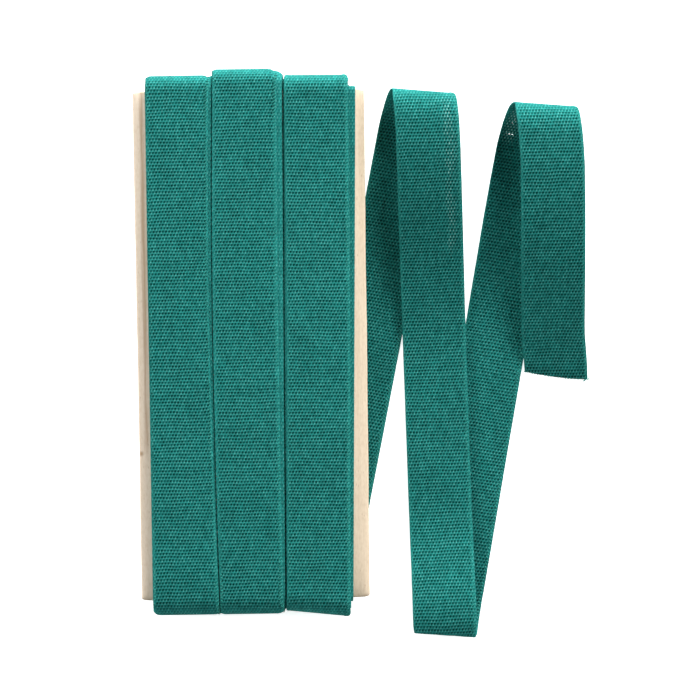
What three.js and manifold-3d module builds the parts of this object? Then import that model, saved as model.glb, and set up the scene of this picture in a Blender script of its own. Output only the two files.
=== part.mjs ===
// A flat wooden card wound with cotton ribbon: three bands of turns lie side by side on the card,
// and the loose end leaves the right band, passes under the card and folds back and forth beside it.
// Millimetres, +Z up. The card lies on its back, and the origin is under the middle of the whole thing.
import * as THREE from "three";
import { mergeVertices } from "three/addons/utils/BufferGeometryUtils.js";
import Module from "manifold-3d";

const wasm = await Module();
wasm.setup();

// Driving sizes, in millimetres and degrees.
const ribbonWidth = 15;
const looseThickness = 1;
const clearance = 0.3;
const stack = 3.3; // seven turns of ribbon, one on the other
const bandRounding = 0.7;
const card = {
  length: 120,
  topWidth: 54.6,
  bottomWidth: 53.8,
  thickness: 2.5,
  cornerReach: 3,
  cornerDrop: 0.7,
  edgeRounding: 0.35,
  lean: 0.87,
};
const cardMiddle = stack + clearance + card.thickness / 2; // height of the card's middle above the table

// The turns stay off the card by the clearance. Their inside corners have this radius.
const insideCorner = 0.8;
const insideHalf = { length: card.length / 2 + clearance, height: card.thickness / 2 + clearance };

// Each band's two sides in the card's frame: x at the top end and at the bottom end, and the bow between.
// topSlack is how far the turns stand off the card's top end, and back is their depth under the card.
// The right band's lower turns stick out to its own third side, up to their depth, and its bottom end
// runs off square, in degrees, towards the loose end. Its back leaves room for the loose end below it.
const bands = [
  {
    left: { top: -24, bottom: -24, bow: 0 },
    right: { top: -8.55, bottom: -8.55, bow: -0.95 },
    topSlack: 0,
    back: stack,
  },
  {
    left: { top: -8.25, bottom: -8.25, bow: -0.95 },
    right: { top: 7.7, bottom: 6.75, bow: 0 },
    topSlack: 1.4,
    back: stack,
  },
  {
    left: { top: 8.6, bottom: 7.55, bow: 0 },
    right: { top: 23.6, bottom: 22.4, bow: 0 },
    lower: { top: 25, bottom: 22.9, bow: 0 },
    lowerDepth: 2.1,
    topSlack: 0,
    back: 1.8,
    endSlant: 6.2,
  },
];

// Heights, from the card's middle, of the step at the right band's bottom end where the loose end goes on.
const stepHeight = { outer: 0.25, inner: 0.15 };

// The hidden inner turn that crosses the card's back and joins the three bands.
const crossing = { width: 40, length: 100, depth: 0.5 };

// Folds of the loose end, in order, each seen from its side.
// turn: how far the ribbon's direction swings. reach: length of ribbon to the next fold's tip.
// slip: sideways creep inside the loop, spread over twice the length span.
// low: height of the lower leg. lift: where that leg starts to rise, counted inward from the tip.
// tip: height of the outermost line. crest and crestIn: height and place of the highest line.
// land and landHeight: where the upper leg comes down, and how high it lies there.
// leave and arrive: how long the upper leg stays level after the crest, and before it lands.
const folds = [
  {
    turn: 11.3, reach: 132.5, slip: -1.2, span: 8, low: 0.5, lift: 3.6, tip: 4.1,
    crest: 9.4, crestIn: 4.5, land: 20, landHeight: 9.7, leave: 0.35, arrive: 0.4, lowFirst: false,
  },
  {
    turn: 13, reach: 131.8, slip: 1.2, span: 14, low: 0.5, lift: 16.7, tip: 10.4,
    crest: 14.1, crestIn: 7, land: 62, landHeight: 2.1, leave: 0.35, arrive: 0.4, lowFirst: true,
  },
  {
    turn: 11.7, reach: 133.4, slip: -0.2, span: 8, low: 0.5, lift: 8, tip: 4.6,
    crest: 6.2, crestIn: 4.5, land: 22, landHeight: 2.1, leave: 0.35, arrive: 0.4, lowFirst: false,
  },
  {
    turn: 10.9, reach: 66.5, slip: 2.3, span: 16, low: 0.5, lift: 25, tip: 13,
    crest: 16.4, crestIn: 6.5, land: 64.5, landHeight: 0.5, leave: 0.45, arrive: 0.12, lowFirst: true,
  },
];
// The right band's last turn, from the card's middle: its outermost line at the card's bottom end, and
// the lean of its run down the front. The loose end starts this much ahead of that line.
const firstFold = { x: 15.5, y: -63.25, lean: 0.28, startAhead: 0.6 };
const cutSlant = 0.15; // the cut end runs off square by this much for each millimetre across
const blend = { from: 0.4, to: 0.6 }; // share of a leg where one fold's surface passes into the next's
const squareStart = 14; // length of ribbon that the start takes to turn square to the card's end

// How finely the curves are drawn.
const legLength = 85; // a fold's straight legs are drawn this long, past the middle of any leg
const curveSteps = 60;
const foldSteps = [0, 1, 2, 3.2, 4.5, 6, 8, 10.5, 14, 19, 25, 33, 43, 54]; // distances from a fold's tip
const sheetColumns = 6;
const arcSteps = 6;
const sideSteps = 8;

const wood = new THREE.MeshStandardMaterial({ color: "#ecd9bd", roughness: 0.75, metalness: 0 });
const cotton = new THREE.MeshStandardMaterial({ color: "#23746e", roughness: 0.9, metalness: 0 });

const mix = THREE.MathUtils.lerp;
const radians = THREE.MathUtils.degToRad;

// A closed body from rings of points: each ring is joined to the next, and the last one to the first
// where the rows run round, or both ends are closed by a flat strip.
function bodyOfRings(rings, runsRound) {
  const count = rings[0].length;
  const index = [];
  const joins = runsRound ? rings.length : rings.length - 1;
  for (let i = 0; i < joins; i += 1) {
    const row = i * count;
    const next = ((i + 1) % rings.length) * count;
    for (let j = 0; j < count; j += 1) {
      const k = (j + 1) % count;
      index.push(row + j, row + k, next + k, row + j, next + k, next + j);
    }
  }
  if (!runsRound) {
    const last = (rings.length - 1) * count;
    for (let j = 0; j < count / 2 - 1; j += 1) {
      const a = j;
      const b = j + 1;
      const c = count - 2 - j;
      const d = count - 1 - j;
      index.push(a, c, b, a, d, c);
      index.push(last + a, last + b, last + c, last + a, last + c, last + d);
    }
  }
  const geometry = new THREE.BufferGeometry();
  geometry.setAttribute("position", new THREE.Float32BufferAttribute(rings.flat(2), 3));
  geometry.setIndex(index);
  return geometry;
}

function solidOf(geometry) {
  const vertProperties = Float32Array.from(geometry.getAttribute("position").array);
  const triVerts = Uint32Array.from(geometry.getIndex().array);
  return new wasm.Manifold(new wasm.Mesh({ numProp: 3, vertProperties, triVerts }));
}

function geometryOf(solid) {
  const mesh = solid.getMesh();
  const geometry = new THREE.BufferGeometry();
  geometry.setAttribute("position", new THREE.Float32BufferAttribute(Array.from(mesh.vertProperties), 3));
  geometry.setIndex(Array.from(mesh.triVerts));
  geometry.computeVertexNormals();
  return geometry;
}

// The card: straight sides, worn corners, ends a little fuller in the middle.
function cardGeometry() {
  const halfTop = card.topWidth / 2 - card.edgeRounding;
  const halfBottom = card.bottomWidth / 2 - card.edgeRounding;
  const end = card.length / 2 - card.edgeRounding;
  const side = end - card.cornerDrop;
  const shape = new THREE.Shape();
  shape.moveTo(-halfBottom, -side);
  shape.quadraticCurveTo(-halfBottom, -end + card.cornerDrop / 3, -halfBottom + card.cornerReach, -end);
  shape.lineTo(halfBottom - card.cornerReach, -end);
  shape.quadraticCurveTo(halfBottom, -end + card.cornerDrop / 3, halfBottom, -side);
  shape.lineTo(halfTop, side);
  shape.quadraticCurveTo(halfTop, end - card.cornerDrop / 3, halfTop - card.cornerReach, end);
  shape.lineTo(-halfTop + card.cornerReach, end);
  shape.quadraticCurveTo(-halfTop, end - card.cornerDrop / 3, -halfTop, side);
  const geometry = new THREE.ExtrudeGeometry(shape, {
    depth: card.thickness - 2 * card.edgeRounding,
    bevelThickness: card.edgeRounding,
    bevelSize: card.edgeRounding,
    bevelSegments: 2,
    curveSegments: 4,
  });
  return geometry.translate(0, 0, -card.thickness / 2 + card.edgeRounding);
}

// Stations round the card, seen from its side: down the front, round the bottom end, up the back and
// round the top end. Each has its inside point, the way out from it and the depth of turns on it.
function stationsRound(band) {
  const high = insideHalf.height - insideCorner;
  const bottom = -insideHalf.length + insideCorner;
  const top = insideHalf.length + band.topSlack - insideCorner;
  const stations = [];
  const add = (y, z, angle, depth, atBottomEnd) => {
    const out = { y: Math.cos(angle), z: Math.sin(angle) };
    stations.push({ y: y + insideCorner * out.y, z: z + insideCorner * out.z, out, depth, atBottomEnd });
  };
  const quarter = Math.PI / 2;
  for (let i = 1; i < sideSteps; i += 1) {
    add(mix(top, bottom, i / sideSteps), high, quarter, stack, false);
  }
  for (let i = 0; i <= arcSteps; i += 1) {
    add(bottom, high, quarter + (quarter * i) / arcSteps, stack, true);
  }
  if (band.back < stack) {
    add(bottom, stepHeight.outer, Math.PI, stack, true);
    add(bottom, stepHeight.inner, Math.PI, band.back, true);
  }
  for (let i = 0; i <= arcSteps; i += 1) {
    add(bottom, -high, 2 * quarter + (quarter * i) / arcSteps, band.back, true);
  }
  for (let i = 1; i < sideSteps; i += 1) {
    add(mix(bottom, top, i / sideSteps), -high, 3 * quarter, band.back, false);
  }
  for (let i = 0; i <= arcSteps; i += 1) {
    const t = i / arcSteps;
    add(top, -high, 3 * quarter + quarter * t, mix(band.back, stack, t), false);
  }
  for (let i = 0; i <= arcSteps; i += 1) {
    add(top, high, (quarter * i) / arcSteps, stack, false);
  }
  return stations;
}

// The x of a band's side at a place along the card.
function sideAt(edge, y) {
  const t = y / card.length + 0.5;
  return mix(edge.bottom, edge.top, t) + edge.bow * (1 - (2 * t - 1) ** 2);
}

// The section of a band, counterclockwise from its inside left corner: which side each point
// belongs to, how far in from it, and how far out from the card.
function sectionOf(band, depth) {
  const r = bandRounding;
  const cut = r * (1 - Math.SQRT1_2);
  const section = [{ edge: band.left, inset: 0, out: 0 }];
  if (band.lower) {
    const shoulder = band.lowerDepth * (depth / stack);
    section.push({ edge: band.lower, inset: 0, out: 0 });
    section.push({ edge: band.lower, inset: 0, out: shoulder });
    section.push({ edge: band.right, inset: 0, out: shoulder });
  } else {
    section.push({ edge: band.right, inset: 0, out: 0 });
  }
  const shrink = Math.min(1, depth / stack);
  section.push({ edge: band.right, inset: 0, out: depth - r * shrink });
  section.push({ edge: band.right, inset: cut, out: depth - cut * shrink });
  section.push({ edge: band.right, inset: r, out: depth });
  section.push({ edge: band.left, inset: -r, out: depth });
  section.push({ edge: band.left, inset: -cut, out: depth - cut * shrink });
  section.push({ edge: band.left, inset: 0, out: depth - r * shrink });
  return section;
}

// One band of turns: its section carried round the card. A band with a slanted bottom end
// leans its turns there, where the last one swings towards the loose end.
function bandSolid(band) {
  const slant = Math.tan(radians(band.endSlant ?? 0));
  const rings = stationsRound(band).map((station) =>
    sectionOf(band, station.depth).map(({ edge, inset, out }) => {
      const x = sideAt(edge, station.y) - inset;
      const middle = (sideAt(band.left, station.y) + sideAt(band.right, station.y)) / 2;
      const lean = station.atBottomEnd ? (slant * (x - middle)) / station.depth : 0;
      return [x, station.y + station.out.y * out * (1 + lean), station.z + station.out.z * out];
    }),
  );
  return solidOf(bodyOfRings(rings, true));
}

// The wound ribbon: the three bands and the crossing turn that joins them.
function rollGeometry() {
  const strip = new THREE.BoxGeometry(crossing.width, crossing.length, crossing.depth);
  strip.translate(0, 0, -insideHalf.height - crossing.depth / 2);
  strip.deleteAttribute("normal");
  strip.deleteAttribute("uv");
  const crossingSolid = solidOf(mergeVertices(strip));
  return geometryOf(bands.map(bandSolid).reduce((solid, band) => solid.add(band), crossingSolid));
}

// A fold seen from its side, from the leg that comes in to the leg that leaves: distance out from
// the fold's tip line against height, as quarter ovals and a soft slope.
function foldProfile(fold) {
  const round = 0.55;
  const at = (out, height) => new THREE.Vector2(out, height);
  const slope = fold.land - fold.crestIn;
  const legs = [
    [at(-legLength, fold.low), at(-legLength, fold.low), at(-fold.lift, fold.low), at(-fold.lift, fold.low)],
    [
      at(-fold.lift, fold.low),
      at(-fold.lift * (1 - round), fold.low),
      at(0, mix(fold.tip, fold.low, round)),
      at(0, fold.tip),
    ],
    [
      at(0, fold.tip),
      at(0, mix(fold.tip, fold.crest, round)),
      at(-fold.crestIn * (1 - round), fold.crest),
      at(-fold.crestIn, fold.crest),
    ],
    [
      at(-fold.crestIn, fold.crest),
      at(-fold.crestIn - slope * fold.leave, fold.crest),
      at(-fold.land + slope * fold.arrive, fold.landHeight),
      at(-fold.land, fold.landHeight),
    ],
    [
      at(-fold.land, fold.landHeight),
      at(-fold.land, fold.landHeight),
      at(-legLength, fold.landHeight),
      at(-legLength, fold.landHeight),
    ],
  ];
  const ordered = fold.lowFirst ? legs : legs.reverse().map((leg) => leg.reverse());
  const points = [];
  const lengths = [0];
  for (const leg of ordered) {
    const steps = new THREE.CubicBezierCurve(...leg).getPoints(curveSteps);
    for (const point of points.length ? steps.slice(1) : steps) {
      if (points.length) {
        lengths.push(lengths.at(-1) + point.distanceTo(points.at(-1)));
      }
      points.push(point);
    }
  }
  const tip = points.findIndex((point) => point.x === 0);
  return { points, lengths: lengths.map((length) => length - lengths[tip]) };
}

// The profile's point at a length from its tip.
function profileAt({ points, lengths }, length) {
  let high = lengths.findIndex((value) => value > length);
  high = high < 0 ? points.length - 1 : Math.max(high, 1);
  const t = (length - lengths[high - 1]) / (lengths[high] - lengths[high - 1]);
  return points[high - 1].clone().lerp(points[high], t);
}

// Lay the folds out on the table one after the other. Each fold line lies across the halved turn, so
// the leg that leaves is the leg that came in, mirrored at the fold. Odd folds point down the card.
function layFolds() {
  const laid = [];
  let heading = new THREE.Vector2(Math.sin(radians(firstFold.lean)), -Math.cos(radians(firstFold.lean)));
  let start = new THREE.Vector2(firstFold.x, firstFold.y);
  folds.forEach((fold, i) => {
    const half = radians(fold.turn / 2);
    const side = i % 2 === 0 ? -1 : 1;
    const across = new THREE.Vector2(heading.y, -heading.x).multiplyScalar(side);
    const along = across.clone().multiplyScalar(Math.cos(half)).addScaledVector(heading, Math.sin(half));
    const outward = heading.clone().multiplyScalar(Math.cos(half)).addScaledVector(across, -Math.sin(half));
    const profile = foldProfile(fold);
    const spare = {
      before: profile.points[0].x - profile.lengths[0],
      after: profile.points.at(-1).x + profile.lengths.at(-1),
    };
    const tip = start.clone();
    if (i > 0) {
      const back = folds[i - 1].reach / 2;
      tip.addScaledVector(outward, back * Math.cos(half) - spare.before);
      tip.addScaledVector(along, back * Math.sin(half) + fold.slip / 2);
    }
    laid.push({ ...fold, half, along, outward, profile, tip });
    const forth = fold.reach / 2;
    start = tip.clone().addScaledVector(outward, spare.after - forth * Math.cos(half));
    start.addScaledVector(along, forth * Math.sin(half) + fold.slip / 2);
    heading = outward.clone().multiplyScalar(-Math.cos(half)).addScaledVector(along, Math.sin(half));
  });
  return laid;
}

const smooth = (t) => THREE.MathUtils.smoothstep(t, 0, 1);

// The ribbon's middle surface near one fold: length from the fold's tip, and place across the ribbon.
function pointNearFold(fold, length, across) {
  const rolled = length * Math.cos(fold.half) - across * Math.sin(fold.half);
  const creep = fold.slip * (smooth(rolled / fold.span / 2 + 0.5) - 0.5);
  const slide = length * Math.sin(fold.half) + across * Math.cos(fold.half) + creep;
  const side = profileAt(fold.profile, rolled);
  const plan = fold.tip.clone().addScaledVector(fold.outward, side.x).addScaledVector(fold.along, slide);
  return new THREE.Vector3(plan.x, plan.y, side.y);
}

// The middle surface anywhere: the two folds of a leg agree on it, and are blended half way.
function pointOnRibbon(laid, i, length, across) {
  const near = pointNearFold(laid[i], length, across);
  const next = laid[i + 1];
  const t = length / laid[i].reach;
  if (!next || t < blend.from) {
    return near;
  }
  const passed = smooth((t - blend.from) / (blend.to - blend.from));
  return near.lerp(pointNearFold(next, length - laid[i].reach, across), passed);
}

// Places along the ribbon, close together in the folds and wide apart on the legs.
function placesAlong() {
  const places = [{ fold: 0, length: -firstFold.startAhead }];
  folds.forEach((fold, i) => {
    const last = i === folds.length - 1;
    const middle = last ? fold.reach : fold.reach / 2;
    foldSteps.filter((step) => step < middle).forEach((step) => places.push({ fold: i, length: step }));
    if (last) {
      places.push({ fold: i, length: fold.reach });
    } else {
      places.push({ fold: i, length: middle });
      foldSteps.slice(1).reverse().forEach((step) => places.push({ fold: i, length: fold.reach - step }));
    }
  });
  return places;
}

// The loose end: a thin sheet on the middle surface, from the bottom end of the card to the cut end.
// The first place is set square to the card's end, and the last leg's places lean towards the cut.
function looseGeometry() {
  const laid = layFolds();
  const nudge = 0.2; // how far off the neighbours lie that a point's facing is worked out from
  const startSlant = Math.tan(laid[0].half);
  const rings = placesAlong().map(({ fold, length }) => {
    const lead = fold === 0 ? startSlant * Math.max(0, 1 - length / squareStart) : 0;
    const trail = fold === folds.length - 1 ? cutSlant * (length / folds.at(-1).reach) : 0;
    const upper = [];
    const lower = [];
    for (let j = 0; j <= sheetColumns; j += 1) {
      const across = ribbonWidth * (j / sheetColumns - 0.5);
      const here = length + (lead + trail) * across;
      const point = pointOnRibbon(laid, fold, here, across);
      const ahead = pointOnRibbon(laid, fold, here + nudge, across).sub(point);
      const beside = pointOnRibbon(laid, fold, here, across + nudge).sub(point);
      const normal = beside.cross(ahead).normalize().multiplyScalar(looseThickness / 2);
      upper.push(point.clone().add(normal).toArray());
      lower.unshift(point.clone().sub(normal).toArray());
    }
    return [...upper, ...lower];
  });
  return bodyOfRings(rings, false);
}

function piece(name, geometry, material) {
  const mesh = new THREE.Mesh(geometry, material);
  mesh.name = name;
  return mesh;
}

const onCard = new THREE.Group();
onCard.add(piece("card", cardGeometry(), wood));
onCard.add(piece("wound_ribbon", rollGeometry(), cotton));
onCard.rotation.z = radians(card.lean);
onCard.position.z = cardMiddle;

const whole = new THREE.Group();
whole.add(onCard);
whole.add(piece("loose_end", looseGeometry(), cotton));

// Stand the whole thing on its box's bottom centre.
whole.updateMatrixWorld(true);
const box = new THREE.Box3().setFromObject(whole, true);
whole.position.set(-(box.min.x + box.max.x) / 2, -(box.min.y + box.max.y) / 2, -box.min.z);

export default whole;
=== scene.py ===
"""Cotton ribbon wound in three bands on a flat wooden card, its loose end folded beside it.

Everything is in metres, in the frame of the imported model. The card's own frame has its origin in the
middle of the card, with Y along the card and X across the bands.
"""
import math

import bmesh
import bpy
import numpy as np
from mathutils import Matrix, Vector


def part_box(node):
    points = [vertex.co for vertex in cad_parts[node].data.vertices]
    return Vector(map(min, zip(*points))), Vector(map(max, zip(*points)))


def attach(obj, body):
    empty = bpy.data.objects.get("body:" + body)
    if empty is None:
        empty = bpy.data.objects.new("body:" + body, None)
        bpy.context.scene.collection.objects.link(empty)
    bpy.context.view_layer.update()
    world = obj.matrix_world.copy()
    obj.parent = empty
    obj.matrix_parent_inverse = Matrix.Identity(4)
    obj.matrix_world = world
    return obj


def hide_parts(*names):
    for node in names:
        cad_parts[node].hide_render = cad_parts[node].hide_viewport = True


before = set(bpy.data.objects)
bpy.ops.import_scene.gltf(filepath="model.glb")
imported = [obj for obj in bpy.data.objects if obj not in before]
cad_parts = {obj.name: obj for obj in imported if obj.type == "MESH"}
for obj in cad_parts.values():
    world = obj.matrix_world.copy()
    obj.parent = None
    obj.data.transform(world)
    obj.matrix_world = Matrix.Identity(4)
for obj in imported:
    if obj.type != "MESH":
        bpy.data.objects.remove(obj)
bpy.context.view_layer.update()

MM = 0.001
SEED = 7

# The card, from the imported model. Its sides close in a little towards the bottom end, so its middle
# lies off the middle of its box.
CARD_LENGTH = 120 * MM
CARD_TOP_WIDTH = 54.6 * MM
CARD_BOTTOM_WIDTH = 53.8 * MM
CARD_LEAN = math.radians(0.87)
card_low, card_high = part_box("card")
CARD_THICKNESS = card_high.z - card_low.z
CARD_MIDDLE = (card_low + card_high) / 2 + Vector(((CARD_TOP_WIDTH - CARD_BOTTOM_WIDTH) / 4, 0, 0))
ON_CARD = Matrix.Translation(CARD_MIDDLE) @ Matrix.Rotation(CARD_LEAN, 4, "Z")

# The ribbon, its weave and its edge yarn.
RIBBON_WIDTH = 15 * MM
RIBBON_THICKNESS = 0.4 * MM
WARP_SPACING = 0.365 * MM
PICK_SPACING = 0.77 * MM
YARN_RADIUS = 0.11 * MM

# The pitch of the turns, their depth past the card, and the points in a row across the ribbon.
LAYER_PITCH = 0.455 * MM
BAND_DEPTH = 3.3 * MM
COLUMNS = 21

# The turns run clear of the card by the slack, and bend round its edges by this inside radius.
SLACK = 0.3 * MM
INSIDE_BEND = 0.8 * MM


def linear(colour, alpha=1.0):
    """An sRGB hex colour as the linear RGBA that Blender's sockets take."""
    parts = [int(colour[i : i + 2], 16) / 255 for i in (1, 3, 5)]
    return (*((c / 12.92 if c <= 0.04045 else ((c + 0.055) / 1.055) ** 2.4) for c in parts), alpha)


# A Mix node's two colour inputs.
MIX_FROM = 6
MIX_TO = 7


def add(tree, kind, inputs=(), **settings):
    """Add a node with its settings, its input values and its links. A node given as an input stands for
    its first output in use."""
    node = tree.nodes.new(kind)
    for name, value in settings.items():
        setattr(node, name, value)
    for key, value in inputs.items() if isinstance(inputs, dict) else enumerate(inputs):
        if isinstance(value, bpy.types.Node):
            value = next(socket for socket in value.outputs if socket.enabled)
        if isinstance(value, bpy.types.NodeSocket):
            tree.links.new(value, node.inputs[key])
        elif value is not None:
            node.inputs[key].default_value = value
    return node


def mesh_object(name, mesh):
    piece = bpy.data.objects.new(name, mesh)
    bpy.context.scene.collection.objects.link(piece)
    return piece


def apply_tree(piece, tree, values):
    """Put a geometry tree on a piece, and set its inputs by their sockets' identifiers. An input that
    isn't given keeps its default."""
    modifier = piece.modifiers.new(tree.name, "NODES")
    modifier.node_group = tree
    for item in tree.interface.items_tree:
        if item.item_type == "SOCKET" and item.in_out == "INPUT" and item.name in values:
            modifier[item.identifier] = values[item.name]


def make_plain(piece):
    """Give the piece what its modifiers make as its own mesh, and take the modifiers off."""
    graph = bpy.context.evaluated_depsgraph_get()
    mesh = bpy.data.meshes.new_from_object(piece.evaluated_get(graph))
    mesh.name = piece.name
    piece.modifiers.clear()
    piece.data = mesh


# Camera, straight above, at the photo's distance and field.

VIEW_HEIGHT = 600 * MM
FIELD_WIDTH = 700 / 4.2 * MM
VIEW_CENTRE = Vector((-2.35 * MM, 0.21 * MM, 0))


def make_camera():
    data = bpy.data.cameras.new("camera")
    data.sensor_width = 36
    data.lens = data.sensor_width * VIEW_HEIGHT / FIELD_WIDTH
    data.clip_start = 0.01
    camera = bpy.data.objects.new("camera", data)
    camera.location = VIEW_CENTRE + Vector((0, 0, VIEW_HEIGHT))
    bpy.context.scene.collection.objects.link(camera)
    bpy.context.scene.camera = camera


# Finishes


def new_material(name):
    material = bpy.data.materials.new(name)
    material.use_nodes = True
    tree = material.node_tree
    tree.nodes.clear()
    return material, tree


def woven_cotton():
    """Piece-dyed cotton in plain weave: matt, with the warp's floats in staggered rows, their crowns
    painted lighter than the dips between them and each given a painted highlight, and painted shade in a
    pit wherever a warp end dips under the weft. The pattern follows the ribbon, in millimetres."""
    material, tree = new_material("dyed cotton plain weave")
    end = WARP_SPACING / MM
    pick = PICK_SPACING / MM
    half_width = RIBBON_WIDTH / MM / 2
    # In millimetres: a pit's slope, from its rim to its floor, and half the size of a painted highlight.
    pit_rim, pit_floor = 0.35, 0.12
    spot_width, spot_length = 0.25, 0.38
    weave = add(tree, "ShaderNodeUVMap", uv_map="weave")
    place = add(tree, "ShaderNodeSeparateXYZ", [weave])
    # On the reverse the pattern runs the other way, as it does when cloth is turned over.
    face = add(tree, "ShaderNodeAttribute", attribute_name="face").outputs["Fac"]
    # The threads wander, by up to 0.1 mm aside and 0.25 mm along.
    wander = add(tree, "ShaderNodeTexNoise", {"Vector": weave, "Scale": 0.16, "Detail": 1.0})
    wander = add(tree, "ShaderNodeSeparateColor", [wander.outputs["Color"]])
    aside = add(tree, "ShaderNodeMath", [wander.outputs[0], 0.2, -0.1], operation="MULTIPLY_ADD")
    ahead = add(tree, "ShaderNodeMath", [wander.outputs[1], 0.5, -0.25], operation="MULTIPLY_ADD")
    across = add(tree, "ShaderNodeMath", [place.outputs[0], aside], operation="ADD")
    along = add(tree, "ShaderNodeMath", [place.outputs[1], ahead], operation="ADD")
    along = add(tree, "ShaderNodeMath", [along, face], operation="MULTIPLY")

    # Which warp end this is, which of its floats, and the place on the float: across in widths of an
    # end, along in lengths of a float, both from its middle. Then three random values for the float.
    ends = add(tree, "ShaderNodeMath", [across, end], operation="DIVIDE")
    end_number = add(tree, "ShaderNodeMath", [ends], operation="FLOOR")
    stagger = add(tree, "ShaderNodeMath", [end_number, 2.0], operation="FLOORED_MODULO")
    floats = add(tree, "ShaderNodeMath", [along, 2 * pick], operation="DIVIDE")
    floats = add(tree, "ShaderNodeMath", [stagger, 0.5, floats], operation="MULTIPLY_ADD")
    float_number = add(tree, "ShaderNodeMath", [floats], operation="FLOOR")
    on_float = add(tree, "ShaderNodeMath", [floats], operation="FRACT")
    on_float = add(tree, "ShaderNodeMath", [on_float, 0.5], operation="SUBTRACT")
    on_end = add(tree, "ShaderNodeMath", [ends], operation="FRACT")
    on_end = add(tree, "ShaderNodeMath", [on_end, 0.5], operation="SUBTRACT")
    which = add(tree, "ShaderNodeCombineXYZ", [end_number, float_number])
    chance = add(tree, "ShaderNodeTexWhiteNoise", {"Vector": which}, noise_dimensions="2D")
    chances = add(tree, "ShaderNodeSeparateColor", [chance.outputs["Color"]])

    # The rounded back of each float, leaning with the yarn's twist, and a painted highlight on it. The
    # highlight lies a little ahead of the float's middle, where the light catches it.
    leaning = add(tree, "ShaderNodeMath", [on_float, 0.25, on_end], operation="MULTIPLY_ADD")
    side = add(tree, "ShaderNodeMath", [leaning, leaning], operation="MULTIPLY")
    side = add(tree, "ShaderNodeMath", [side, -2.0, 1.0], operation="MULTIPLY_ADD")
    rise = add(tree, "ShaderNodeMath", [on_float, math.pi], operation="MULTIPLY")
    rise = add(tree, "ShaderNodeMath", [rise], operation="COSINE")
    rise = add(tree, "ShaderNodeMath", [rise, 0.35], operation="POWER")
    crown = add(tree, "ShaderNodeMath", [side, rise], operation="MULTIPLY", use_clamp=True)
    wide, long = end / spot_width, 2 * pick / spot_length
    aside = add(tree, "ShaderNodeMath", [leaning, wide, 0.12], operation="MULTIPLY_ADD")
    ahead = add(tree, "ShaderNodeMath", [on_float, long, -0.68], operation="MULTIPLY_ADD")
    painted_highlight = add(tree, "ShaderNodeCombineXYZ", [aside, ahead])
    painted_highlight = add(tree, "ShaderNodeVectorMath", [painted_highlight], operation="LENGTH").outputs["Value"]
    painted_highlight = add(
        tree,
        "ShaderNodeMapRange",
        {"Value": painted_highlight, "From Min": 1.2, "From Max": 0.1},
        interpolation_type="SMOOTHSTEP",
    )
    strength = add(tree, "ShaderNodeMath", [chances.outputs[1], 0.8, 0.2], operation="MULTIPLY_ADD")
    painted_highlight = add(tree, "ShaderNodeMath", [painted_highlight, strength], operation="MULTIPLY")

    # The pits between the floats: a staggered lattice, laid as two square ones, each pit its own depth.
    # In the colour, a pit is painted shade.
    pit, from_pit = None, None
    for end_shift, float_shift in ((-0.5, 0.0), (-1.5, 0.5)):
        column = add(tree, "ShaderNodeMath", [ends, end_shift], operation="ADD")
        column = add(tree, "ShaderNodeMath", [column, 0.5], operation="MULTIPLY")
        row = add(tree, "ShaderNodeMath", [along, 0.5 / pick, float_shift], operation="MULTIPLY_ADD")
        nearest = [add(tree, "ShaderNodeMath", [value], operation="ROUND") for value in (column, row)]
        aside = add(tree, "ShaderNodeMath", [column, nearest[0]], operation="SUBTRACT")
        ahead = add(tree, "ShaderNodeMath", [row, nearest[1]], operation="SUBTRACT")
        aside = add(tree, "ShaderNodeMath", [ahead, 0.5, aside], operation="MULTIPLY_ADD")
        aside = add(tree, "ShaderNodeMath", [aside, 2 * end * 0.86], operation="MULTIPLY")
        ahead = add(tree, "ShaderNodeMath", [ahead, 2 * pick * 0.86], operation="MULTIPLY")
        away = add(tree, "ShaderNodeCombineXYZ", [aside, ahead])
        away = add(tree, "ShaderNodeVectorMath", [away], operation="LENGTH").outputs["Value"]
        hollow = add(
            tree,
            "ShaderNodeMapRange",
            {"Value": away, "From Min": pit_rim, "From Max": pit_floor},
            interpolation_type="SMOOTHSTEP",
        )
        number = add(tree, "ShaderNodeCombineXYZ", [*nearest, float_shift])
        deep = add(tree, "ShaderNodeTexWhiteNoise", [number])
        deep = add(tree, "ShaderNodeMath", [deep, 0.4, 0.7], operation="MULTIPLY_ADD")
        hollow = add(tree, "ShaderNodeMath", [hollow, deep], operation="MULTIPLY")
        if pit is None:
            pit, from_pit = hollow, away
        else:
            pit = add(tree, "ShaderNodeMath", [pit, hollow], operation="MAXIMUM", use_clamp=True)
            from_pit = add(tree, "ShaderNodeMath", [from_pit, away], operation="MINIMUM")

    # Round a bend the cloth is drawn tight and its pits close. There the painted shade in the pits and
    # the painted highlights fade, as the bend faces the light.
    bend = add(tree, "ShaderNodeAttribute", attribute_name="bend").outputs["Fac"]
    fade_at_bend = add(tree, "ShaderNodeMath", [bend, -0.75, 1.0], operation="MULTIPLY_ADD")
    pit = add(tree, "ShaderNodeMath", [pit, fade_at_bend], operation="MULTIPLY")
    fade_at_bend = add(tree, "ShaderNodeMath", [bend, -0.3, 1.0], operation="MULTIPLY_ADD")
    painted_highlight = add(tree, "ShaderNodeMath", [painted_highlight, fade_at_bend], operation="MULTIPLY")

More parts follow.
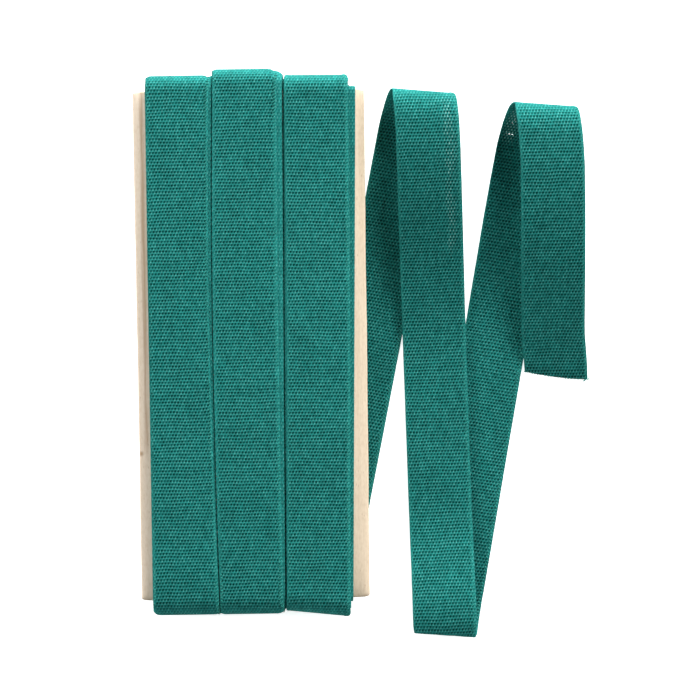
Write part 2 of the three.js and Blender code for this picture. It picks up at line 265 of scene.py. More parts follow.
    # Towards its edges the weave closes up, and at the left edge only the rows of weft show.
    left_rim = add(
        tree,
        "ShaderNodeMapRange",
        {"Value": across, "From Min": -half_width + 0.7, "From Max": -half_width + 0.2},
    )
    right_rim = add(
        tree,
        "ShaderNodeMapRange",
        {"Value": across, "From Min": half_width - 0.85, "From Max": half_width - 0.5},
    )
    rim = add(tree, "ShaderNodeMath", [left_rim, right_rim], operation="MAXIMUM")
    closed = add(tree, "ShaderNodeMath", [rim, -0.8, 1.0], operation="MULTIPLY_ADD")
    pit = add(tree, "ShaderNodeMath", [pit, closed], operation="MULTIPLY")
    rows = add(tree, "ShaderNodeMath", [along, 2 * math.pi / pick], operation="MULTIPLY")
    rows = add(tree, "ShaderNodeMath", [rows], operation="COSINE")
    between = add(tree, "ShaderNodeMath", [rows, -0.06], operation="MULTIPLY")
    rows = add(tree, "ShaderNodeMath", [rows, left_rim], operation="MULTIPLY")

    # Where the weave is pulled open, the painted highlights turn pale: painted light, standing for light
    # showing through the open weave.
    open_weave = add(tree, "ShaderNodeAttribute", attribute_name="open_weave").outputs["Fac"]
    painted_light_in_open_weave = add(tree, "ShaderNodeMath", [painted_highlight, open_weave], operation="MULTIPLY", use_clamp=True)

    # Colour: the floats' crowns lighter and the dips between them darker, as painted shade; a painted
    # highlight on each float, painted light where the weave is open, and painted shade in the pits; then
    # each float a little lighter or darker, uneven rows of weft and clouds of the dye.
    colour = linear("#146560")
    shades = [(crown, "#217A74"), (painted_highlight, "#4A9891"), (painted_light_in_open_weave, "#A5D8D0"), (pit, "#003732")]
    for mask, shade in shades:
        mixed = {"Factor": mask, MIX_FROM: colour, MIX_TO: linear(shade)}
        colour = add(tree, "ShaderNodeMix", mixed, data_type="RGBA")
    clouds = add(tree, "ShaderNodeTexNoise", {"Vector": weave, "Scale": 0.12, "Detail": 3.0})
    streaks = add(tree, "ShaderNodeVectorMath", [weave, (0.22, 1.1 / pick, 0)], operation="MULTIPLY")
    streaks = add(tree, "ShaderNodeTexNoise", {"Vector": streaks, "Scale": 1.0, "Detail": 1.0})
    tone = add(tree, "ShaderNodeMath", [clouds, 0.3, 0.85], operation="MULTIPLY_ADD")
    tone = add(tree, "ShaderNodeMath", [streaks, 0.3, tone], operation="MULTIPLY_ADD")
    tone = add(tree, "ShaderNodeMath", [chances.outputs[2], 0.3, tone], operation="MULTIPLY_ADD")
    tone = add(tree, "ShaderNodeMath", [tone, 0.3], operation="SUBTRACT")
    tone = add(tree, "ShaderNodeMath", [tone, between], operation="ADD")
    tone = add(tree, "ShaderNodeMath", [rows, 0.12, tone], operation="MULTIPLY_ADD")
    tone = add(tree, "ShaderNodeMath", [rim, 0.06, tone], operation="MULTIPLY_ADD")
    colour = add(tree, "ShaderNodeVectorMath", {0: colour, "Scale": tone}, operation="SCALE")

    # Relief: the floats, the rows at the rim and the yarn's loose fibres.
    fibres = add(tree, "ShaderNodeVectorMath", [weave, (14, 3, 0)], operation="MULTIPLY")
    fibres = add(tree, "ShaderNodeTexNoise", {"Vector": fibres, "Scale": 1.0, "Detail": 2.0})
    flat = add(tree, "ShaderNodeMath", [rim, -0.6, 1.0], operation="MULTIPLY_ADD")
    relief = add(tree, "ShaderNodeMath", [crown, flat], operation="MULTIPLY")
    relief = add(tree, "ShaderNodeMath", [rows, 0.18, relief], operation="MULTIPLY_ADD")
    relief = add(tree, "ShaderNodeMath", [pit, -0.5, relief], operation="MULTIPLY_ADD")
    relief = add(tree, "ShaderNodeMath", [fibres, 0.25, relief], operation="MULTIPLY_ADD")
    bump = add(tree, "ShaderNodeBump", {"Strength": 1.0, "Distance": 0.07 * MM, "Height": relief})

    # Pinholes, where it is pulled open widest.
    width = add(tree, "ShaderNodeMath", [open_weave, 0.5], operation="SUBTRACT", use_clamp=True)
    width = add(tree, "ShaderNodeMath", [width, chances.outputs[2]], operation="MULTIPLY")
    width = add(tree, "ShaderNodeMath", [width, 0.36], operation="MULTIPLY")
    solid = add(tree, "ShaderNodeMath", [from_pit, width], operation="GREATER_THAN")

    surface = add(
        tree,
        "ShaderNodeBsdfPrincipled",
        {
            "Base Color": colour,
            "Roughness": 0.88,
            "IOR": 1.5,
            "Specular IOR Level": 0.02,
            "Sheen Weight": 0.04,
            "Sheen Roughness": 0.45,
            "Sheen Tint": linear("#9FE0D4"),
            "Alpha": solid,
            "Normal": bump,
        },
    )
    add(tree, "ShaderNodeOutputMaterial", {"Surface": surface})
    return material


def twisted_yarn():
    """Twisted cotton yarn, dyed with the cloth: matt and soft, a little lighter than the woven face
    because no pits show in it."""
    material, tree = new_material("dyed twisted cotton yarn")
    place = add(tree, "ShaderNodeTexCoord").outputs["Object"]
    fibres = add(tree, "ShaderNodeTexNoise", {"Vector": place, "Scale": 6 / MM, "Detail": 2.0})
    mixed = {"Factor": fibres, MIX_FROM: linear("#1E756C"), MIX_TO: linear("#49A89B")}
    colour = add(tree, "ShaderNodeMix", mixed, data_type="RGBA")
    bump = add(tree, "ShaderNodeBump", {"Strength": 0.6, "Distance": 0.03 * MM, "Height": fibres})
    surface = add(
        tree,
        "ShaderNodeBsdfPrincipled",
        {
            "Base Color": colour,
            "Roughness": 0.9,
            "IOR": 1.5,
            "Specular IOR Level": 0.02,
            "Sheen Weight": 0.04,
            "Sheen Roughness": 0.45,
            "Sheen Tint": linear("#9FE0D4"),
            "Normal": bump,
        },
    )
    add(tree, "ShaderNodeOutputMaterial", {"Surface": surface})
    return material


def sanded_lime():
    """Sanded lime wood: pale and matt, with fine straight grain along the card, a few darker streaks,
    short brown flecks, and a brown vein down to a small knot on its left side."""
    material, tree = new_material("sanded lime wood")
    place = add(tree, "ShaderNodeTexCoord").outputs["Object"]
    place = add(
        tree,
        "ShaderNodeMapping",
        {"Vector": place, "Location": CARD_MIDDLE, "Rotation": (0, 0, CARD_LEAN), "Scale": (MM, MM, MM)},
        vector_type="TEXTURE",
    )
    grain = add(tree, "ShaderNodeVectorMath", [place, (2.2, 0.07, 2.2)], operation="MULTIPLY")
    uneven = {"Vector": grain, "Scale": 1.0, "Detail": 4.0, "Distortion": 0.4}
    grain = add(tree, "ShaderNodeTexNoise", uneven)
    streaks = add(tree, "ShaderNodeVectorMath", [place, (0.9, 0.018, 0.9)], operation="MULTIPLY")
    streaks = add(tree, "ShaderNodeTexNoise", {"Vector": streaks, "Scale": 1.0, "Detail": 3.0})
    streaks = add(tree, "ShaderNodeMapRange", {"Value": streaks, "From Min": 0.5, "From Max": 0.75})
    mottle = add(tree, "ShaderNodeVectorMath", [place, (2.6, 0.9, 2.6)], operation="MULTIPLY")
    mottle = add(tree, "ShaderNodeTexNoise", {"Vector": mottle, "Scale": 1.0, "Detail": 3.0})
    mottle = add(tree, "ShaderNodeMapRange", {"Value": mottle, "From Min": 0.42, "From Max": 0.7})

    # Towards its left side, beside the wound bands, the board is painted greyer: painted shade from the
    # bands. There is a brown vein there down to a small knot, and the sawn ends are a little brown too.
    x, y = add(tree, "ShaderNodeSeparateXYZ", [place]).outputs[:2]
    painted_left_shade = add(tree, "ShaderNodeMapRange", {"Value": x, "From Min": 0.0, "From Max": -24.0})
    waver = add(tree, "ShaderNodeMath", [grain, 1.4, -25.9], operation="MULTIPLY_ADD")
    beside = add(tree, "ShaderNodeMath", [x, waver], operation="SUBTRACT")
    beside = add(tree, "ShaderNodeMath", [beside], operation="ABSOLUTE")
    beside = add(tree, "ShaderNodeMapRange", {"Value": beside, "From Min": 0.6, "From Max": 0.1})
    above = add(tree, "ShaderNodeMapRange", {"Value": y, "From Min": -26.5, "From Max": -22.0})
    vein = add(tree, "ShaderNodeMath", [beside, above], operation="MULTIPLY")
    ends = add(tree, "ShaderNodeMath", [y], operation="ABSOLUTE")
    half_length = CARD_LENGTH / MM / 2
    last_bit = {"Value": ends, "From Min": half_length - 1.0, "From Max": half_length}
    ends = add(tree, "ShaderNodeMapRange", last_bit)
    flecks = add(tree, "ShaderNodeVectorMath", [place, (1.7, 0.5, 1.7)], operation="MULTIPLY")
    flecks = add(tree, "ShaderNodeTexVoronoi", {"Vector": flecks, "Scale": 1.0, "Randomness": 1.0})
    near = {"Value": flecks.outputs["Distance"], "From Min": 0.2, "From Max": 0.05}
    near = add(tree, "ShaderNodeMapRange", near)
    rare = add(tree, "ShaderNodeSeparateColor", [flecks.outputs["Color"]])
    rare = add(tree, "ShaderNodeMath", [rare, 0.7], operation="GREATER_THAN")
    flecks = add(tree, "ShaderNodeMath", [near, rare], operation="MULTIPLY")
    knot_place = (-26.5, -25.4, CARD_THICKNESS / MM / 2)
    knot = add(tree, "ShaderNodeVectorMath", [place, knot_place], operation="DISTANCE")
    knot = {"Value": knot.outputs["Value"], "From Min": 0.8, "From Max": 0.2}
    knot = add(tree, "ShaderNodeMapRange", knot)
    fine = add(tree, "ShaderNodeVectorMath", [place, (9, 0.5, 9)], operation="MULTIPLY")
    fine = add(tree, "ShaderNodeTexNoise", {"Vector": fine, "Scale": 1.0, "Detail": 2.0})

    mixed = {"Factor": grain, MIX_FROM: linear("#F3E1C9"), MIX_TO: linear("#DFC9AC")}
    colour = add(tree, "ShaderNodeMix", mixed, data_type="RGBA")
    layers = [
        # Painted shade: the board's left side greyer, where the bands shade it.
        (painted_left_shade, 0.6, "#E0D0C1"),
        (streaks, 0.3, "#D3B792"),
        (mottle, 0.35, "#CDB494"),
        (vein, 0.6, "#B08C6A"),
        (ends, 0.35, "#B8946E"),
        (flecks, 0.5, "#A98560"),
        (knot, 0.75, "#9C764F"),
    ]
    for mask, strength, shade in layers:
        mask = add(tree, "ShaderNodeMath", [mask, strength], operation="MULTIPLY")
        mixed = {"Factor": mask, MIX_FROM: colour, MIX_TO: linear(shade)}
        colour = add(tree, "ShaderNodeMix", mixed, data_type="RGBA")
    relief = add(tree, "ShaderNodeMath", [fine, grain], operation="ADD")
    relief = add(tree, "ShaderNodeMath", [flecks, -0.8, relief], operation="MULTIPLY_ADD")
    bump = add(tree, "ShaderNodeBump", {"Strength": 0.7, "Distance": 0.05 * MM, "Height": relief})
    rough = add(tree, "ShaderNodeMath", [fine, 0.15, 0.62], operation="MULTIPLY_ADD")
    surface = add(
        tree,
        "ShaderNodeBsdfPrincipled",
        {
            "Base Color": colour,
            "Roughness": rough,
            "IOR": 1.5,
            "Specular IOR Level": 0.35,
            "Normal": bump,
        },
    )
    add(tree, "ShaderNodeOutputMaterial", {"Surface": surface})
    return material


# The card


def make_card(finish):
    """A sawn and sanded board: edges eased, corners worn, its sides a touch uneven."""
    draws = np.random.default_rng(SEED)
    ease = 0.35 * MM
    worn = 3 * MM
    drop = 0.7 * MM
    uneven = 0.1 * MM
    end_flat = 46 * MM
    side_share = 0.97
    half_length = CARD_LENGTH / 2
    # Rings of the board's edge: height as a share of half the thickness, and share of the eased edge.
    upper_levels = [(0.66, 0), (0.8, 0.15), (0.93, 0.5), (1, 1.0)]
    levels = [(-height, inset) for height, inset in upper_levels[::-1]] + upper_levels

    def side_x(y):
        """Half the board's width at this height."""
        return (CARD_BOTTOM_WIDTH + (CARD_TOP_WIDTH - CARD_BOTTOM_WIDTH) * (y / CARD_LENGTH + 0.5)) / 2

    def quarter(x_sign, y_sign):
        """A worn corner, from the side to the end."""
        steps = np.linspace(0, 1, 9)
        side = side_x(y_sign * half_length)
        x = side - worn * steps**2.2
        y = half_length - drop * (1 - steps) ** 2
        return [(x_sign * a, y_sign * b) for a, b in zip(x, y)]

    runs = np.linspace(-side_share, side_share, 60)
    end_runs = np.linspace(-end_flat / 2, end_flat / 2, 24)
    outline = [(-side_x(t * half_length), t * half_length) for t in runs]
    outline += quarter(-1, 1)
    outline += [(x, half_length) for x in end_runs]
    outline += quarter(1, 1)[::-1]
    outline += [(side_x(t * half_length), t * half_length) for t in runs[::-1]]
    outline += quarter(1, -1)
    outline += [(x, -half_length) for x in end_runs[::-1]]
    outline += quarter(-1, -1)[::-1]
    points = np.array(outline)
    ahead, behind = np.roll(points, -1, 0), np.roll(points, 1, 0)
    tangent = ahead - behind
    tangent /= np.linalg.norm(tangent, axis=1)[:, None]
    outward = np.stack([-tangent[:, 1], tangent[:, 0]], 1)
    wave = np.convolve(draws.normal(0, 1, len(points) + 6), np.ones(7) / 7, "valid")
    points = points + outward * (wave * uneven)[:, None]

    shape = bmesh.new()
    rings = []
    for height, inset in levels:
        ring = points - outward * inset * ease
        z = height * CARD_THICKNESS / 2
        rings.append([shape.verts.new((x, y, z)) for x, y in ring])
    for lower, upper in zip(rings, rings[1:]):
        for i in range(len(lower)):
            j = (i + 1) % len(lower)
            shape.faces.new((lower[i], upper[i], upper[j], lower[j]))
    shape.faces.new(rings[0])
    shape.faces.new(rings[-1][::-1])
    bmesh.ops.recalc_face_normals(shape, faces=shape.faces)
    bmesh.ops.triangulate(shape, faces=[f for f in shape.faces if len(f.verts) > 4])
    mesh = bpy.data.meshes.new("card_board")
    shape.to_mesh(mesh)
    shape.free()
    mesh.transform(ON_CARD)
    mesh.materials.append(finish)
    mesh.shade_smooth()
    piece = mesh_object("card_board", mesh)
    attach(piece, "root")
    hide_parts("card")


# The ribbon's own trees


def input_socket(tree, name, kind, value=None):
    socket = tree.interface.new_socket(name, in_out="INPUT", socket_type=kind)
    if value is not None:
        socket.default_value = value


def wound_turns_tree():
    """Turns of ribbon round a path: the path's points, seen from the card's side, are run through again
    and again, each turn further out, and each point is spread to a row across the ribbon."""
    tree = bpy.data.node_groups.new("wound_turns", "GeometryNodeTree")
    input_socket(tree, "Path", "NodeSocketGeometry")
    for name in ("Stations", "Columns", "Steps in a turn", "Seed"):
        input_socket(tree, name, "NodeSocketInt", 1)
    names = ["Turns", "Layer pitch", "Band depth", "Card length", "Left top", "Left bottom", "Left bow"]
    names += ["Right top", "Right bottom", "Right bow", "Sway", "Last turn tuck top"]
    names += ["Last turn tuck bottom", "First turn out top", "First turn out bottom"]
    names += ["Bottom slant", "Path length", "Unit", "Under corner"]
    names += ["Corner top left", "Corner top right", "Corner bottom left", "Corner bottom right"]
    for name in names:
        input_socket(tree, name, "NodeSocketFloat", 0.0)
    tree.interface.new_socket("Turns laid", in_out="OUTPUT", socket_type="NodeSocketGeometry")
    given = add(tree, "NodeGroupInput").outputs

    grid = add(
        tree,
        "GeometryNodeMeshGrid",
        {"Vertices X": given["Stations"], "Vertices Y": given["Columns"], "Size X": 1.0, "Size Y": 1.0},
    )
    place = add(tree, "GeometryNodeInputPosition")
    place = add(tree, "ShaderNodeVectorMath", [place, (0.5, 0.5, 0)], operation="ADD")
    place = add(tree, "ShaderNodeSeparateXYZ", [place])
    last_station = add(tree, "ShaderNodeMath", [given["Stations"], 1.0], operation="SUBTRACT")
    station = add(tree, "ShaderNodeMath", [place.outputs[0], last_station], operation="MULTIPLY")
    station = add(tree, "ShaderNodeMath", [station], operation="ROUND")
    turn = add(tree, "ShaderNodeMath", [station, given["Steps in a turn"]], operation="DIVIDE")
    whole_turn = add(tree, "ShaderNodeMath", [turn, 1e-4], operation="ADD")
    whole_turn = add(tree, "ShaderNodeMath", [whole_turn], operation="FLOOR")
    step = add(tree, "ShaderNodeMath", [whole_turn, given["Steps in a turn"]], operation="MULTIPLY")
    step = add(tree, "ShaderNodeMath", [station, step], operation="SUBTRACT")

    # What the path says at this step: its place, the way out, and its length and the angle turned so far.
    on_path = []
    for name in ("position", "outward", "measure"):
        said = add(tree, "GeometryNodeInputNamedAttribute", [name], data_type="FLOAT_VECTOR")
        sampled = add(
            tree,
            "GeometryNodeSampleIndex",
            {"Geometry": given["Path"], "Value": said, "Index": step},
            data_type="FLOAT_VECTOR",
            domain="POINT",
        )
        on_path.append(add(tree, "ShaderNodeSeparateXYZ", [sampled]).outputs)
    point, out, measure = on_path

    # The band's two sides here.
    share = add(tree, "ShaderNodeMath", [point[1], given["Card length"]], operation="DIVIDE")
    share = add(tree, "ShaderNodeMath", [share, 0.5], operation="ADD")
    from_middle = add(tree, "ShaderNodeMath", [share, 2.0, -1.0], operation="MULTIPLY_ADD")
    bulge = add(tree, "ShaderNodeMath", [from_middle, from_middle], operation="MULTIPLY")
    bulge = add(tree, "ShaderNodeMath", [1.0, bulge], operation="SUBTRACT", use_clamp=True)
    seed = add(tree, "ShaderNodeMath", [given["Seed"], 7.3], operation="MULTIPLY")
    sides = []
    for side, shift in (("Left", 0.0), ("Right", 50.0)):
        straight = {"Value": share, "To Min": given[f"{side} bottom"], "To Max": given[f"{side} top"]}
        x = add(tree, "ShaderNodeMapRange", straight, clamp=False)
        x = add(tree, "ShaderNodeMath", [bulge, given[f"{side} bow"], x], operation="MULTIPLY_ADD")
        when = add(tree, "ShaderNodeMath", [turn, 1.3, seed], operation="MULTIPLY_ADD")
        when = add(tree, "ShaderNodeMath", [when, shift], operation="ADD")
        stray = {"W": when, "Scale": 1.0, "Detail": 0.0}
        drift = add(tree, "ShaderNodeTexNoise", stray, noise_dimensions="1D")
        drift = add(tree, "ShaderNodeMath", [drift, 0.5], operation="SUBTRACT")
        sides.append(add(tree, "ShaderNodeMath", [drift, given["Sway"], x], operation="MULTIPLY_ADD"))
    left, right = sides

    # The first turn may stand out on the right, and the last one may be drawn in there.
    first = add(tree, "ShaderNodeMapRange", {"Value": turn, "From Min": 1.3, "From Max": 1.0})
    stand_out = add(
        tree,
        "ShaderNodeMapRange",
        {"Value": share, "To Min": given["First turn out bottom"], "To Max": given["First turn out top"]},
        clamp=False,
    )
    right = add(tree, "ShaderNodeMath", [first, stand_out, right], operation="MULTIPLY_ADD")
    late = add(tree, "ShaderNodeMath", [given["Turns"], turn], operation="SUBTRACT")
    late = add(tree, "ShaderNodeMapRange", {"Value": late, "From Min": 1.0, "From Max": 0.7})
    drawn_in = {"To Min": given["Last turn tuck bottom"], "To Max": given["Last turn tuck top"]}
    tuck = add(tree, "ShaderNodeMapRange", {"Value": share, "From Max": 0.6, **drawn_in})
    tuck = add(tree, "ShaderNodeMath", [tuck, late], operation="MULTIPLY")
    right = add(tree, "ShaderNodeMath", [right, tuck], operation="SUBTRACT")

    # Place across the ribbon, with the mesh's columns closer together towards its edges.
    across = place.outputs[1]
    spread = add(tree, "ShaderNodeMath", [across, math.pi, -math.pi / 2], operation="MULTIPLY_ADD")
    spread = add(tree, "ShaderNodeMath", [spread], operation="SINE")
    middle = add(tree, "ShaderNodeMath", [left, right], operation="ADD")
    middle = add(tree, "ShaderNodeMath", [middle, 0.5], operation="MULTIPLY")
    half = add(tree, "ShaderNodeMath", [right, left], operation="SUBTRACT")
    half = add(tree, "ShaderNodeMath", [half, 0.5], operation="MULTIPLY")
    aside = add(tree, "ShaderNodeMath", [spread, half], operation="MULTIPLY")
    x = add(tree, "ShaderNodeMath", [aside, middle], operation="ADD")

    # Each corner of the band is round: there the turns sink towards the card's end.
    at_top = add(tree, "ShaderNodeMath", [point[1], 0.0], operation="GREATER_THAN")
    at_right = add(tree, "ShaderNodeMath", [spread, 0.0], operation="GREATER_THAN")
    radii = []
    for end in ("bottom", "top"):
        two = {"To Min": given[f"Corner {end} left"], "To Max": given[f"Corner {end} right"]}
        radii.append(add(tree, "ShaderNodeMapRange", {"Value": at_right, **two}))
    radius = add(tree, "ShaderNodeMapRange", {"Value": at_top, "To Min": radii[0], "To Max": radii[1]})
    inside = add(tree, "ShaderNodeMath", [aside], operation="ABSOLUTE")
    inside = add(tree, "ShaderNodeMath", [half, inside], operation="SUBTRACT")
    inside = add(tree, "ShaderNodeMath", [inside, radius], operation="DIVIDE")
    near_edge = add(tree, "ShaderNodeMath", [1.0, inside], operation="SUBTRACT", use_clamp=True)
    near_edge = add(tree, "ShaderNodeMath", [near_edge, near_edge], operation="MULTIPLY")
    fall = add(tree, "ShaderNodeMath", [1.0, near_edge], operation="SUBTRACT")
    fall = add(tree, "ShaderNodeMath", [fall], operation="SQRT")
    fall = add(tree, "ShaderNodeMath", [1.0, fall], operation="SUBTRACT")
    fall = add(tree, "ShaderNodeMath", [fall, radius], operation="MULTIPLY")
    fall = add(tree, "ShaderNodeMath", [fall, given["Band depth"]], operation="DIVIDE")
    at_end = add(tree, "ShaderNodeMath", [out[1]], operation="ABSOLUTE")
    fall = add(tree, "ShaderNodeMath", [fall, at_end], operation="MULTIPLY")
    taken = add(tree, "ShaderNodeMapRange", {"Value": late, "To Min": given["Under corner"]})
    top_right = add(tree, "ShaderNodeMath", [at_top, at_right], operation="MULTIPLY")
    taken = add(tree, "ShaderNodeMapRange", {"Value": top_right, "To Min": 1.0, "To Max": taken})
    fall = add(tree, "ShaderNodeMath", [fall, taken], operation="MULTIPLY")
    depth = add(tree, "ShaderNodeMath", [turn, given["Layer pitch"]], operation="MULTIPLY")
    sunk = add(tree, "ShaderNodeMath", [1.0, fall], operation="SUBTRACT")
    sunk = add(tree, "ShaderNodeMath", [sunk, depth], operation="MULTIPLY")
    y = add(tree, "ShaderNodeMath", [out[1], sunk, point[1]], operation="MULTIPLY_ADD")
    z = add(tree, "ShaderNodeMath", [out[2], sunk, point[2]], operation="MULTIPLY_ADD")

    # A bottom end that runs off square leans more with each turn.
    at_bottom = add(tree, "ShaderNodeMath", [1.0, at_top], operation="SUBTRACT")
    lean = add(tree, "ShaderNodeMath", [depth, given["Band depth"]], operation="DIVIDE")
    lean = add(tree, "ShaderNodeMath", [lean, given["Bottom slant"]], operation="MULTIPLY")
    lean = add(tree, "ShaderNodeMath", [lean, at_bottom], operation="MULTIPLY")
    square = add(tree, "ShaderNodeMath", [at_end, at_end], operation="MULTIPLY")
    lean = add(tree, "ShaderNodeMath", [lean, square], operation="MULTIPLY")
    y = add(tree, "ShaderNodeMath", [lean, aside, y], operation="MULTIPLY_ADD")
    laid_at = add(tree, "ShaderNodeCombineXYZ", [x, y, z])

    # Length of ribbon wound so far, for the weave.
    turned = add(tree, "ShaderNodeMath", [measure[1], 2 * math.pi], operation="DIVIDE")
    turned = add(tree, "ShaderNodeMath", [turned, whole_turn], operation="ADD")
    extra = add(tree, "ShaderNodeMath", [turned, turned], operation="MULTIPLY")
    extra = add(tree, "ShaderNodeMath", [extra, given["Layer pitch"]], operation="MULTIPLY")
    extra = add(tree, "ShaderNodeMath", [extra, math.pi, measure[0]], operation="MULTIPLY_ADD")
    path_length = given["Path length"]
    wound = add(tree, "ShaderNodeMath", [whole_turn, path_length, extra], operation="MULTIPLY_ADD")
    wound = add(tree, "ShaderNodeMath", [wound, given["Unit"]], operation="DIVIDE")
    weave_across = add(tree, "ShaderNodeMath", [aside, given["Unit"]], operation="DIVIDE")
    weave = add(tree, "ShaderNodeCombineXYZ", [weave_across, wound])

    first = add(tree, "ShaderNodeMath", [station, 0.5], operation="GREATER_THAN")
    before_last = add(tree, "ShaderNodeMath", [last_station, 0.5], operation="SUBTRACT")
    before_last = add(tree, "ShaderNodeMath", [station, before_last], operation="LESS_THAN")
    full = add(tree, "ShaderNodeMath", [first, before_last], operation="MULTIPLY")
    beside = add(tree, "ShaderNodeMath", [spread], operation="SIGN")
    beside = add(tree, "ShaderNodeCombineXYZ", [beside])

    laid = grid.outputs["Mesh"]
    kept = [
        ("weave", "FLOAT2", "CORNER", weave),
        ("selvedge", "FLOAT", "POINT", spread),
        ("full", "FLOAT", "POINT", full),
        ("turn", "FLOAT", "POINT", late),
        ("beside", "FLOAT_VECTOR", "POINT", beside),
        ("laid_at", "FLOAT_VECTOR", "POINT", laid_at),
    ]
    for name, kind, domain, value in kept:
        laid = add(
            tree,
            "GeometryNodeStoreNamedAttribute",
            {"Geometry": laid, "Name": name, "Value": value},
            data_type=kind,
            domain=domain,
        )
    where = add(tree, "GeometryNodeInputNamedAttribute", ["laid_at"], data_type="FLOAT_VECTOR")
    laid = add(tree, "GeometryNodeSetPosition", {"Geometry": laid, "Position": where})
    add(tree, "NodeGroupOutput", [laid])
    return tree


